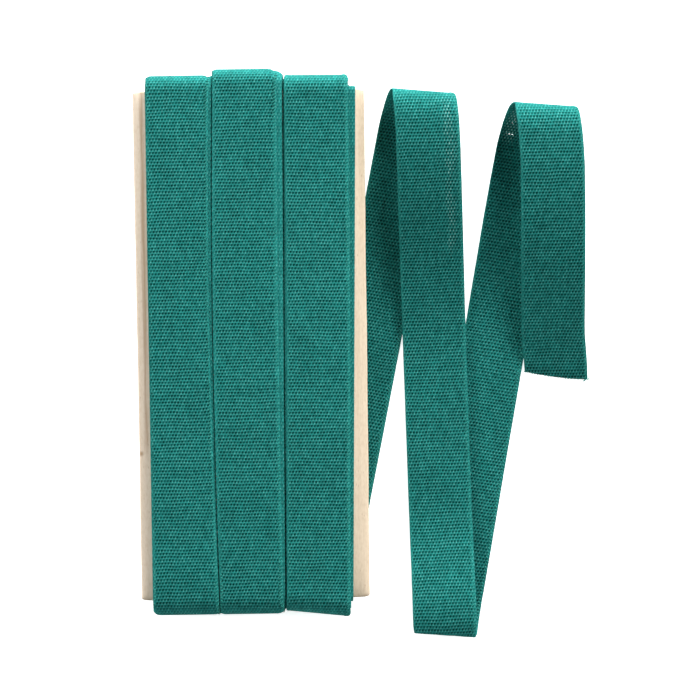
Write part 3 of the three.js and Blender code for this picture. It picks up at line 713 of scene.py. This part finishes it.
def woven_ribbon_tree():
    """A ribbon from its middle surface: rounded at its edges, with the weft's turns along the left
    edge and a knitted chain of loops along the right one, as a needle loom makes them, and thread ends
    at a cut."""
    tree = bpy.data.node_groups.new("woven_ribbon", "GeometryNodeTree")
    input_socket(tree, "Middle surface", "NodeSocketGeometry")
    for name in ("Thickness", "Loop spacing", "Yarn radius", "Unit"):
        input_socket(tree, name, "NodeSocketFloat", 0.0)
    input_socket(tree, "Seed", "NodeSocketInt", 1)
    input_socket(tree, "Cloth", "NodeSocketMaterial")
    input_socket(tree, "Yarn", "NodeSocketMaterial")
    tree.interface.new_socket("Ribbon", in_out="OUTPUT", socket_type="NodeSocketGeometry")
    given = add(tree, "NodeGroupInput").outputs

    edge = add(tree, "GeometryNodeInputNamedAttribute", ["selvedge"], data_type="FLOAT")
    full = add(tree, "GeometryNodeInputNamedAttribute", ["full"], data_type="FLOAT")
    normal = add(tree, "GeometryNodeInputNormal")
    surface = add(
        tree,
        "GeometryNodeStoreNamedAttribute",
        {"Geometry": given["Middle surface"], "Name": "face_up", "Value": normal},
        data_type="FLOAT_VECTOR",
        domain="POINT",
    )
    up = add(tree, "GeometryNodeInputNamedAttribute", ["face_up"], data_type="FLOAT_VECTOR")
    level = add(tree, "ShaderNodeSeparateXYZ", [up])
    level = add(tree, "ShaderNodeMath", [level.outputs[2]], operation="ABSOLUTE")
    bend = add(tree, "ShaderNodeMapRange", {"Value": level, "From Min": 0.95, "From Max": 0.7})
    surface = add(
        tree,
        "GeometryNodeStoreNamedAttribute",
        {"Geometry": surface, "Name": "bend", "Value": bend},
        data_type="FLOAT",
        domain="POINT",
    )
    size = add(tree, "ShaderNodeMath", [edge], operation="ABSOLUTE")
    round_off = add(tree, "ShaderNodeMapRange", {"Value": size, "From Min": 0.983, "From Max": 1.0})
    round_off = add(tree, "ShaderNodeMath", [round_off, 2.0], operation="POWER")
    round_off = add(tree, "ShaderNodeMath", [1.0, round_off], operation="SUBTRACT")
    round_off = add(tree, "ShaderNodeMath", [round_off], operation="SQRT")
    height = add(tree, "ShaderNodeMath", [given["Thickness"], 0.5], operation="MULTIPLY")
    height = add(tree, "ShaderNodeMath", [height, round_off], operation="MULTIPLY")
    height = add(tree, "ShaderNodeMath", [height, full], operation="MULTIPLY")
    offset = add(tree, "ShaderNodeVectorMath", {0: up, "Scale": height}, operation="SCALE")
    back = add(tree, "ShaderNodeVectorMath", [offset, (-1, -1, -1)], operation="MULTIPLY")
    face = add(tree, "GeometryNodeSetPosition", {"Geometry": surface, "Offset": offset})
    reverse = add(tree, "GeometryNodeSetPosition", {"Geometry": surface, "Offset": back})
    reverse = add(tree, "GeometryNodeFlipFaces", [reverse])
    marked = []
    for half, value in ((face, 1.0), (reverse, -1.0)):
        marked.append(
            add(
                tree,
                "GeometryNodeStoreNamedAttribute",
                {"Geometry": half, "Name": "face", "Value": value},
                data_type="FLOAT",
                domain="FACE",
            )
        )
    face, reverse = marked
    cloth = add(tree, "GeometryNodeJoinGeometry", [face])
    tree.links.new(reverse.outputs[0], cloth.inputs[0])
    cloth = add(tree, "GeometryNodeMergeByDistance", {"Geometry": cloth, "Distance": 1e-6})
    cloth = add(tree, "GeometryNodeSetMaterial", {"Geometry": cloth, "Material": given["Cloth"]})

    # One loop of yarn for each edge, and two threads' ends for the cut, in millimetres: X points out of
    # the ribbon, Y along the edge and Z up from the face.
    thin = {"Resolution": 3, "Radius": given["Yarn radius"]}
    section = add(tree, "GeometryNodeCurvePrimitiveCircle", thin)
    loops = {
        "weft turn": [[(-0.66, -0.1, 0.16), (0.14, -0.12, 0.2), (0.14, 0.12, -0.2), (-0.66, 0.1, -0.16)]],
        "chain link": [
            [(-1.0, -0.4, 0.08), (-0.7, -0.2, 0.29), (-0.35, 0.05, 0.3), (-0.12, 0.34, 0.02)],
            [(-1.0, -0.4, -0.08), (-0.7, -0.2, -0.29), (-0.35, 0.05, -0.3), (-0.12, 0.34, -0.02)],
        ],
        "thread end": [
            [(-0.3, 0, 0.05), (-0.1, 0.02, 0.07), (0, -0.03, 0.02), (0.1, 0.03, 0.06)],
            [(-0.3, 0.3, -0.08), (-0.1, 0.33, -0.05), (0.05, 0.25, -0.03), (0.16, 0.32, -0.06)],
        ],
    }
    parts = [cloth]
    turn = add(tree, "GeometryNodeInputNamedAttribute", ["turn"], data_type="FLOAT")
    cut = add(tree, "GeometryNodeInputNamedAttribute", ["cut"], data_type="FLOAT")
    for (name, strands), line_up in zip(loops.items(), ((edge, -1.0), (edge, 1.0), (cut, 1.0))):
        loop = add(tree, "GeometryNodeJoinGeometry")
        for points in strands:
            run = dict(zip(("Start", "Start Handle", "End Handle", "End"), points))
            strand = add(tree, "GeometryNodeCurvePrimitiveBezierSegment", {"Resolution": 5, **run})
            scale = add(tree, "ShaderNodeCombineXYZ", [given["Unit"], given["Unit"], given["Unit"]])
            strand = add(tree, "GeometryNodeTransform", {"Geometry": strand, "Scale": scale})
            strand = {"Curve": strand, "Profile Curve": section, "Fill Caps": True}
            strand = add(tree, "GeometryNodeCurveToMesh", strand)
            tree.links.new(strand.outputs[0], loop.inputs[0])
        at_edge = add(tree, "ShaderNodeMath", line_up, operation="MULTIPLY")
        at_edge = add(tree, "ShaderNodeMath", [at_edge, 0.999], operation="GREATER_THAN")
        if name == "chain link":
            shown = add(tree, "ShaderNodeMath", [turn, 0.5], operation="GREATER_THAN")
            at_edge = add(tree, "ShaderNodeMath", [at_edge, shown], operation="MULTIPLY")
        line = add(
            tree,
            "GeometryNodeSeparateGeometry",
            {"Geometry": surface, "Selection": at_edge},
            domain="POINT",
        )
        line = add(tree, "GeometryNodeMeshToCurve", [line.outputs["Selection"]])
        line = add(
            tree,
            "GeometryNodeResampleCurve",
            {"Curve": line, "Length": given["Loop spacing"]},
            mode="LENGTH",
        )
        outward = "onward" if name == "thread end" else "beside"
        outward = add(tree, "GeometryNodeInputNamedAttribute", [outward], data_type="FLOAT_VECTOR")
        turned = add(
            tree, "FunctionNodeAxesToRotation", [up, outward], primary_axis="Z", secondary_axis="X"
        )
        least, most = (0.85, 0.85, 0.85), (1.2, 1.15, 1.1)
        if name == "thread end":
            least, most = (0.3, 0.7, 0.7), (1.4, 1.3, 1.2)
            swing = add(
                tree,
                "FunctionNodeRandomValue",
                {"Min": (0, -0.2, -0.35), "Max": (0, 0.2, 0.35), "Seed": given["Seed"]},
                data_type="FLOAT_VECTOR",
            )
            turned = add(tree, "FunctionNodeRotateRotation", [turned, swing], rotation_space="LOCAL")
        size = add(
            tree,
            "FunctionNodeRandomValue",
            {"Min": least, "Max": most, "Seed": given["Seed"]},
            data_type="FLOAT_VECTOR",
        )
        placed = add(
            tree,
            "GeometryNodeInstanceOnPoints",
            {"Points": line, "Instance": loop, "Rotation": turned, "Scale": size},
        )
        placed = add(tree, "GeometryNodeRealizeInstances", [placed])
        placed = add(tree, "GeometryNodeSetMaterial", {"Geometry": placed, "Material": given["Yarn"]})
        parts.append(placed)
    ribbon = add(tree, "GeometryNodeJoinGeometry")
    for part in parts:
        tree.links.new(part.outputs[0], ribbon.inputs[0])
    ribbon = add(tree, "GeometryNodeSetShadeSmooth", {"Geometry": ribbon})
    add(tree, "NodeGroupOutput", [ribbon])
    return tree


def weave_ribbon(piece, tree, cloth, yarn, seed):
    """Turn a middle surface into woven ribbon, as a plain mesh."""
    values = {
        "Thickness": RIBBON_THICKNESS,
        "Loop spacing": PICK_SPACING,
        "Yarn radius": YARN_RADIUS,
        "Unit": MM,
        "Seed": seed,
        "Cloth": cloth,
        "Yarn": yarn,
    }
    apply_tree(piece, tree, values)
    make_plain(piece)


# The wound bands


def path_round_card(top_slack):
    """One turn round the card, seen from its side: from the middle of its back to the top end, down
    the front and back from the bottom end. Gives places, the way out, and length and turning so far."""
    top = CARD_LENGTH / 2 + SLACK + top_slack - INSIDE_BEND
    bottom = -CARD_LENGTH / 2 - SLACK + INSIDE_BEND
    high = CARD_THICKNESS / 2 + SLACK - INSIDE_BEND
    corner_steps, back_steps, front_steps = 8, 6, 14
    corners = [(top, -high, -90), (top, high, 0), (bottom, high, 90), (bottom, -high, 180)]
    steps = [(y, -high, -90) for y in np.linspace(0, top, back_steps, endpoint=False)]
    for number, (y, z, start) in enumerate(corners):
        steps += [(y, z, start + 90 * i / corner_steps) for i in range(corner_steps + 1)]
        if number == 1:
            steps += [(y, high, 90) for y in np.linspace(top, bottom, front_steps)[1:-1]]
    steps += [(y, -high, 270) for y in np.linspace(bottom, 0, back_steps, endpoint=False)[1:]]
    places, outs, measures = [], [], []
    run = 0.0
    for y, z, angle in steps:
        out = np.array([0, math.cos(math.radians(angle)), math.sin(math.radians(angle))])
        place = np.array([0, y, z]) + INSIDE_BEND * out
        if places:
            run += float(np.linalg.norm(place - places[-1]))
        places.append(place)
        outs.append(out)
        measures.append((run, math.radians(angle + 90), 0))
    closing = run + float(np.linalg.norm(places[0] - places[-1]))
    return np.array(places), np.array(outs), np.array(measures), closing


# Each band's sides in the card's frame, in millimetres: x at the top end, at the bottom end, and the
# bow between.
# sway: how far a turn's sides stray. tuck: how far the last turn is drawn in on the right, top and
# bottom. out: how far the innermost turn stands out there. slack: how far the turns stand off the
# card's top end. slant: the bottom end's run off square, in degrees.
# corners: their radii, top left, top right, bottom left and bottom right.
# under: how the turns under the last one take the top right corner, as a share of the last turn's.
BANDS = [
    dict(name="left_band", turns=6.78, left=(-24, -24, 0), right=(-8.52, -8.55, -0.72), sway=0.6,
         tuck=(0.7, 0), out=(0, 0), slack=0.3, slant=0, corners=(1.1, 1.5, 1.3, 1.0), under=-0.5),
    dict(name="middle_band", turns=6.78, left=(-8.25, -8.25, -0.75), right=(8.1, 7.1, 0), sway=0.6,
         tuck=(1.25, 0.5), out=(0, 0), slack=1.65, slant=0, corners=(0.9, 2.4, 0.8, 1.4), under=0.8),
    dict(name="right_band", turns=5.95, left=(8.4, 7.4, -0.1), right=(23.3, 22.3, 0), sway=0.5,
         tuck=(0, 0), out=(1.9, 0.7), slack=0, slant=-6.2, corners=(0.4, 1.2, 0.4, 0.4), under=1),
]

# The tree's inputs that each of a band's lists of lengths fills.
BAND_INPUTS = {
    "left": ("Left top", "Left bottom", "Left bow"),
    "right": ("Right top", "Right bottom", "Right bow"),
    "tuck": ("Last turn tuck top", "Last turn tuck bottom"),
    "out": ("First turn out top", "First turn out bottom"),
    "corners": ("Corner top left", "Corner top right", "Corner bottom left", "Corner bottom right"),
}


def make_bands(turns_tree, ribbon_tree, cloth, yarn):
    for number, band in enumerate(BANDS):
        places, outs, measures, closing = path_round_card(band["slack"] * MM)
        mesh = bpy.data.meshes.new(band["name"])
        count = len(places)
        mesh.from_pydata(places.tolist(), [(i, (i + 1) % count) for i in range(count)], [])
        for name, rows in (("outward", outs), ("measure", measures)):
            mesh.attributes.new(name, "FLOAT_VECTOR", "POINT").data.foreach_set("vector", rows.ravel())
        piece = mesh_object(band["name"], mesh)
        values = {
            "Stations": int(band["turns"] * count) + 1,
            "Columns": COLUMNS,
            "Steps in a turn": count,
            "Seed": SEED + number,
            "Turns": band["turns"],
            "Layer pitch": LAYER_PITCH,
            "Band depth": BAND_DEPTH,
            "Card length": CARD_LENGTH,
            "Sway": band["sway"] * MM,
            "Under corner": band["under"],
            "Bottom slant": math.tan(math.radians(band["slant"])),
            "Path length": closing,
            "Unit": MM,
        }
        for key, names in BAND_INPUTS.items():
            values.update((name, length * MM) for name, length in zip(names, band[key]))
        apply_tree(piece, turns_tree, values)
        weave_ribbon(piece, ribbon_tree, cloth, yarn, SEED + number)
        piece.data.transform(ON_CARD)
        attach(piece, "root")
        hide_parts("wound_ribbon")


# The loose end

# Folds in order, in millimetres and degrees, each seen from its side.
# turn: how far the ribbon's direction swings. reach: length of ribbon to the next fold's tip.
# slip: sideways creep inside the loop, spread over twice the length span.
# low: height of the lower leg. lift: where it starts to rise, counted inward from the tip.
# tip: height of the outermost line. crest and crest_in: height and place of the highest line.
# land and land_height: where the upper leg comes down, and how high it lies there.
# leave and arrive: how long the upper leg stays level after the crest and before it lands.
# round: how full the curves are.
FOLDS = [
    dict(up=True, turn=0, reach=132.55, slip=0, span=8, low=0.3, lift=3.8, tip=4.85, crest=9.4,
         crest_in=3.8, land=8, land_height=9.4, leave=0.4, arrive=0.4, round=0.62, low_first=True),
    dict(up=False, turn=11.3, reach=132.35, slip=-1.1, span=8, low=0.25, lift=3.8, tip=4.85, crest=9.4,
         crest_in=3.8, land=8, land_height=9.4, leave=0.4, arrive=0.4, round=0.62, low_first=False),
    dict(up=True, turn=13, reach=131.8, slip=1.2, span=14, low=0.25, lift=16.7, tip=10.15, crest=13.85,
         crest_in=7, land=62, land_height=1.85, leave=0.35, arrive=0.4, round=0.55, low_first=True),
    dict(up=False, turn=11.7, reach=133.4, slip=-0.2, span=8, low=0.25, lift=8, tip=4.35, crest=5.6,
         crest_in=4.5, land=30, land_height=1.85, leave=0.35, arrive=0.4, round=0.55, low_first=False),
    dict(up=True, turn=10.9, reach=67.5, slip=2.3, span=16, low=0.25, lift=25, tip=12.75, crest=16.15,
         crest_in=6.5, land=64.5, land_height=0.25, leave=0.45, arrive=0.12, round=0.55, low_first=True),
]
# The first fold's tip, over the card's top end, from the card's middle, and the run down the front.
LOOSE_START = np.array([15.02, 63.45])
LOOSE_LEAN = 0.33
FRONT_BOW = 0.3
HIDDEN_START = 18.0
# The cut runs off square by this share of the way across, bowed and a little jagged.
CUT_SLANT = 0.15
CUT_BOW = 0.006
CUT_JAG = 0.05
# The last leg drifts aside by this over the run before its cut.
END_DRIFT = 0.75
END_RUN = 13.0
# At a fold the edges draw in by this share, dying away over this reach.
DRAWN_IN = 0.04
DRAWN_REACH = 1.7
# The ribbon's width strays by this share, and its middle by this much.
WIDTH_STRAY = 0.008
SIDE_STRAY = 0.05
# Each leg is drawn this long in a fold's side view.
LEG = 90.0


def fold_profile(fold):
    """A fold seen from its side, as points and the length of ribbon from the tip to each."""
    low, tip, crest = fold["low"], fold["tip"], fold["crest"]
    lift, crest_in, land, full = fold["lift"], fold["crest_in"], fold["land"], fold["round"]
    slope = land - crest_in
    curves = [
        [(-LEG, low), (-LEG, low), (-lift, low), (-lift, low)],
        [(-lift, low), (-lift * (1 - full), low), (0, tip + (low - tip) * full), (0, tip)],
        [(0, tip), (0, tip + (crest - tip) * full), (-crest_in * (1 - full), crest), (-crest_in, crest)],
        [(-crest_in, crest), (-crest_in - slope * fold["leave"], crest),
         (-land + slope * fold["arrive"], fold["land_height"]), (-land, fold["land_height"])],
        [(-land, fold["land_height"])] * 2 + [(-LEG, fold["land_height"])] * 2,
    ]
    if not fold["low_first"]:
        curves = [curve[::-1] for curve in curves[::-1]]
    t = np.linspace(0, 1, 61)[:, None]
    points = []
    for a, b, c, d in (np.array(curve, float) for curve in curves):
        curve = a * (1 - t) ** 3 + 3 * b * t * (1 - t) ** 2 + 3 * c * t**2 * (1 - t) + d * t**3
        points.append(curve if not points else curve[1:])
    points = np.concatenate(points)
    lengths = np.concatenate([[0], np.cumsum(np.linalg.norm(np.diff(points, axis=0), axis=1))])
    tip_at = int(np.argmax(points[:, 0]))
    return points, lengths - lengths[tip_at]


def lay_folds():
    """Each fold's tip and directions on the table. A fold's line lies across the halved turn, so the
    leg that leaves is the leg that came in, mirrored at the fold."""
    lean = math.radians(LOOSE_LEAN)
    heading = np.array([-math.sin(lean), math.cos(lean)])
    start = LOOSE_START.copy()
    laid = []
    for number, fold in enumerate(FOLDS):
        half = math.radians(fold["turn"]) / 2
        side = 1 if fold["up"] else -1
        across = np.array([heading[1], -heading[0]]) * side
        along = across * math.cos(half) + heading * math.sin(half)
        outward = heading * math.cos(half) - across * math.sin(half)
        points, lengths = fold_profile(fold)
        spare_before = points[0, 0] - lengths[0]
        spare_after = points[-1, 0] + lengths[-1]
        tip = start.copy()
        forth = fold["reach"] / 2
        if number:
            back = FOLDS[number - 1]["reach"] / 2
            tip += outward * (back * math.cos(half) - spare_before)
            tip += along * (back * math.sin(half) + fold["slip"] / 2)
        side_view = dict(points=points, lengths=lengths)
        laid.append(dict(fold, half=half, along=along, outward=outward, tip=tip, **side_view))
        start = tip + outward * (spare_after - forth * math.cos(half))
        start += along * (forth * math.sin(half) + fold["slip"] / 2)
        heading = along * math.sin(half) - outward * math.cos(half)
    return laid


def smooth(t):
    """Ease from 0 to 1."""
    t = np.clip(t, 0, 1)
    return t * t * (3 - 2 * t)


def near_fold(fold, length, across):
    """Where the ribbon lies by this fold's rule, at a length from its tip and a way across."""
    rolled = length * math.cos(fold["half"]) - across * math.sin(fold["half"])
    creep = fold["slip"] * (smooth(rolled / fold["span"] / 2 + 0.5) - 0.5)
    slide = length * math.sin(fold["half"]) + across * math.cos(fold["half"]) + creep
    inward = np.interp(rolled, fold["lengths"], fold["points"][:, 0])
    height = np.interp(rolled, fold["lengths"], fold["points"][:, 1])
    plan = fold["tip"] + inward[:, None] * fold["outward"] + slide[:, None] * fold["along"]
    return np.column_stack([plan, height])


def on_ribbon(laid, number, length, across):
    """The ribbon's middle surface. The two folds of a leg agree on it, and are blended half way."""
    near = near_fold(laid[number], length, across)
    if number + 1 == len(laid):
        return near
    reach = laid[number]["reach"]
    passed = smooth((length / reach - 0.4) / 0.2)[:, None]
    return near * (1 - passed) + near_fold(laid[number + 1], length - reach, across) * passed


def places_along():
    """Fold number and length from its tip for each row, close together in the folds. The last row but
    one lies just before the cut, where the cloth's two faces start to close."""
    count, growth, closing = 48, 1.8, 0.12

    def steps(reach):
        return reach * (np.exp(growth * np.arange(count + 1) / count) - 1) / (math.exp(growth) - 1)

    rows = [(0, -length) for length in np.linspace(HIDDEN_START, 0, 36, endpoint=False)]
    for number, fold in enumerate(FOLDS[:-1]):
        half = steps(fold["reach"] / 2)
        rows += [(number, length) for length in half]
        rows += [(number, fold["reach"] - length) for length in half[:0:-1][1:]]
    last = FOLDS[-1]["reach"]
    rows += [(len(FOLDS) - 1, length) for length in steps(last)[:-1]]
    rows += [(len(FOLDS) - 1, last - closing), (len(FOLDS) - 1, last)]
    return rows


def open_weave(number, length, across):
    """Where the loose end's weave is pulled open: near the right edge below the first upper loop, and
    near the left edge inside the second one."""
    # Each patch's fold, its middle and reach along the ribbon, its line and spread across, and strength.
    patches = [(2, 14, 13, 5.0, 1.4, 0.45), (2, 31, 11, 4.7, 1.2, 0.4), (4, -9, 6, -5.2, 2.0, 1.0)]
    amount = np.zeros_like(across)
    for fold, middle, reach, line, spread, strength in patches:
        if number not in (fold - 1, fold):
            continue
        here = length if number == fold else length - FOLDS[number]["reach"]
        inside = ((here - middle) / reach) ** 2 + ((across - line) / spread) ** 2
        amount = np.maximum(amount, strength * np.clip(1.6 - 1.6 * inside, 0, 1))
    return amount


def make_loose_end(ribbon_tree, cloth, yarn):
    """The right band's last turn and the loose end, as one length of ribbon."""
    draws = np.random.default_rng(SEED)
    laid = lay_folds()
    half_width = RIBBON_WIDTH / MM / 2
    spread = np.sin(np.linspace(-math.pi / 2, math.pi / 2, COLUMNS))
    rows = places_along()
    jag = np.convolve(draws.normal(0, CUT_JAG, COLUMNS + 2), [0.3, 0.4, 0.3], "valid")
    before = np.concatenate([[0], np.cumsum([fold["reach"] for fold in FOLDS])])
    last = len(FOLDS) - 1
    last_reach = FOLDS[last]["reach"]
    wave = [np.convolve(draws.normal(0, 1, len(rows) + 10), np.ones(11) / 11, "valid") for _ in range(2)]
    # A step of this many millimetres aside or ahead gives the ribbon's directions at a place.
    nearby = 0.1
    points, weave, opened, beside, onward = [], [], [], [], []
    for row, (number, length) in enumerate(rows):
        from_tip = abs(length)
        if number < last:
            from_tip = min(from_tip, abs(FOLDS[number]["reach"] - length))
        drawn_in = DRAWN_IN * math.exp(-((from_tip / DRAWN_REACH) ** 2))
        width = half_width * (1 + WIDTH_STRAY * wave[0][row] - drawn_in)
        across = spread * width + SIDE_STRAY * wave[1][row]
        trail = np.zeros(COLUMNS)
        if number == last:
            trail = (length / last_reach) ** 3 * (CUT_SLANT * across - CUT_BOW * across**2 + jag)
        here = length + trail
        point = on_ribbon(laid, number, here, across)
        edge = on_ribbon(laid, number, here, across + nearby) - point
        ahead = on_ribbon(laid, number, here + nearby, across) - point
        if number == 0 and length > 0:
            point[:, 0] += FRONT_BOW * math.sin(math.pi * length / FOLDS[0]["reach"])
        if number == last:
            point[:, 0] += END_DRIFT * smooth((here - last_reach + END_RUN) / END_RUN)
        points.append(point)
        beside.append(edge / np.linalg.norm(edge, axis=1)[:, None] * np.sign(spread)[:, None])
        onward.append(ahead / np.linalg.norm(ahead, axis=1)[:, None])
        weave.append(np.column_stack([spread * half_width, before[number] + here]))
        opened.append(open_weave(number, here, across))
    places = np.concatenate(points)
    places[:, :2] += np.array([CARD_MIDDLE.x, CARD_MIDDLE.y]) / MM
    places *= MM
    total = len(rows)
    faces = [
        (i * COLUMNS + j, (i + 1) * COLUMNS + j, (i + 1) * COLUMNS + j + 1, i * COLUMNS + j + 1)
        for i in range(total - 1)
        for j in range(COLUMNS - 1)
    ]
    mesh = bpy.data.meshes.new("loose_ribbon")
    mesh.from_pydata(places.tolist(), [], faces)
    weave = np.concatenate(weave)
    uv = mesh.uv_layers.new(name="weave")
    corners = np.zeros(len(mesh.loops), np.int32)
    mesh.loops.foreach_get("vertex_index", corners)
    uv.data.foreach_set("uv", weave[corners].astype(np.float32).ravel())
    full = np.ones((total, COLUMNS))
    full[[0, -1]] = 0
    floats = {
        "selvedge": np.tile(spread, total),
        "full": full.ravel(),
        "turn": np.ones(total * COLUMNS),
        "cut": np.repeat(np.arange(total) == total - 1, COLUMNS),
        "open_weave": np.concatenate(opened),
    }
    for name, values in floats.items():
        mesh.attributes.new(name, "FLOAT", "POINT").data.foreach_set("value", values.astype(np.float32))
    for name, rows_of in (("beside", beside), ("onward", onward)):
        ways = np.concatenate(rows_of).astype(np.float32).ravel()
        mesh.attributes.new(name, "FLOAT_VECTOR", "POINT").data.foreach_set("vector", ways)
    piece = mesh_object("loose_ribbon", mesh)
    weave_ribbon(piece, ribbon_tree, cloth, yarn, SEED)
    length = (HIDDEN_START + before[-1]) * MM
    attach(piece, "root")
    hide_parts("loose_end")


# Stage and light

# Softboxes a metre away: azimuth and elevation in degrees, and power in watts.
LIGHTS = [
    ("right softbox", 5, 35, 3.4),
    ("back right softbox", 45, 45, 5.6),
    ("left softbox", 172, 35, 6.2),
    ("low back softbox", 85, 12, 24.0),
]

# Sizes in metres, and how strongly the dome and the sweep glow.
SOFTBOX_SIZE = 0.6
DOME_STRENGTH = 0.03
SWEEP_HALF = 2.0
SWEEP_GLOW = 0.76


def make_stage():
    """A white paper sweep and soft studio light: softboxes to the sides, a low one past the top end, and
    a faint even dome. The sweep glows a little, so that it stays white in the shadows."""
    material, tree = new_material("white paper sweep")
    surface = add(
        tree,
        "ShaderNodeBsdfPrincipled",
        {"Base Color": linear("#F7F7F7"), "Roughness": 0.95, "Specular IOR Level": 0.1},
    )
    surface.inputs["Emission Color"].default_value = linear("#FFFFFF")
    surface.inputs["Emission Strength"].default_value = SWEEP_GLOW
    add(tree, "ShaderNodeOutputMaterial", {"Surface": surface})
    corners = [(a * SWEEP_HALF, b * SWEEP_HALF, 0) for a, b in ((-1, -1), (1, -1), (1, 1), (-1, 1))]
    mesh = bpy.data.meshes.new("table")
    mesh.from_pydata(corners, [], [(0, 1, 2, 3)])
    mesh.materials.append(material)
    mesh_object("table", mesh)

    for name, azimuth, elevation, energy in LIGHTS:
        lamp = bpy.data.lights.new(name, "AREA")
        lamp.shape = "DISK"
        lamp.size = SOFTBOX_SIZE
        lamp.energy = energy
        light = bpy.data.objects.new(name, lamp)
        across, up = math.radians(azimuth), math.radians(elevation)
        toward = Vector((math.cos(across) * math.cos(up), math.sin(across) * math.cos(up), math.sin(up)))
        light.location = toward
        light.rotation_euler = (-toward).to_track_quat("-Z", "Y").to_euler()
        bpy.context.scene.collection.objects.link(light)

    world = bpy.data.worlds.new("studio")
    world.use_nodes = True
    dome = world.node_tree.nodes["Background"]
    dome.inputs["Color"].default_value = linear("#FFFFFF")
    dome.inputs["Strength"].default_value = DOME_STRENGTH
    scene = bpy.context.scene
    scene.world = world
    scene.view_settings.view_transform = "Standard"


make_camera()
make_stage()
cotton, cotton_yarn, lime = woven_cotton(), twisted_yarn(), sanded_lime()
make_card(lime)
woven_ribbon = woven_ribbon_tree()
make_bands(wound_turns_tree(), woven_ribbon, cotton, cotton_yarn)
make_loose_end(woven_ribbon, cotton, cotton_yarn)
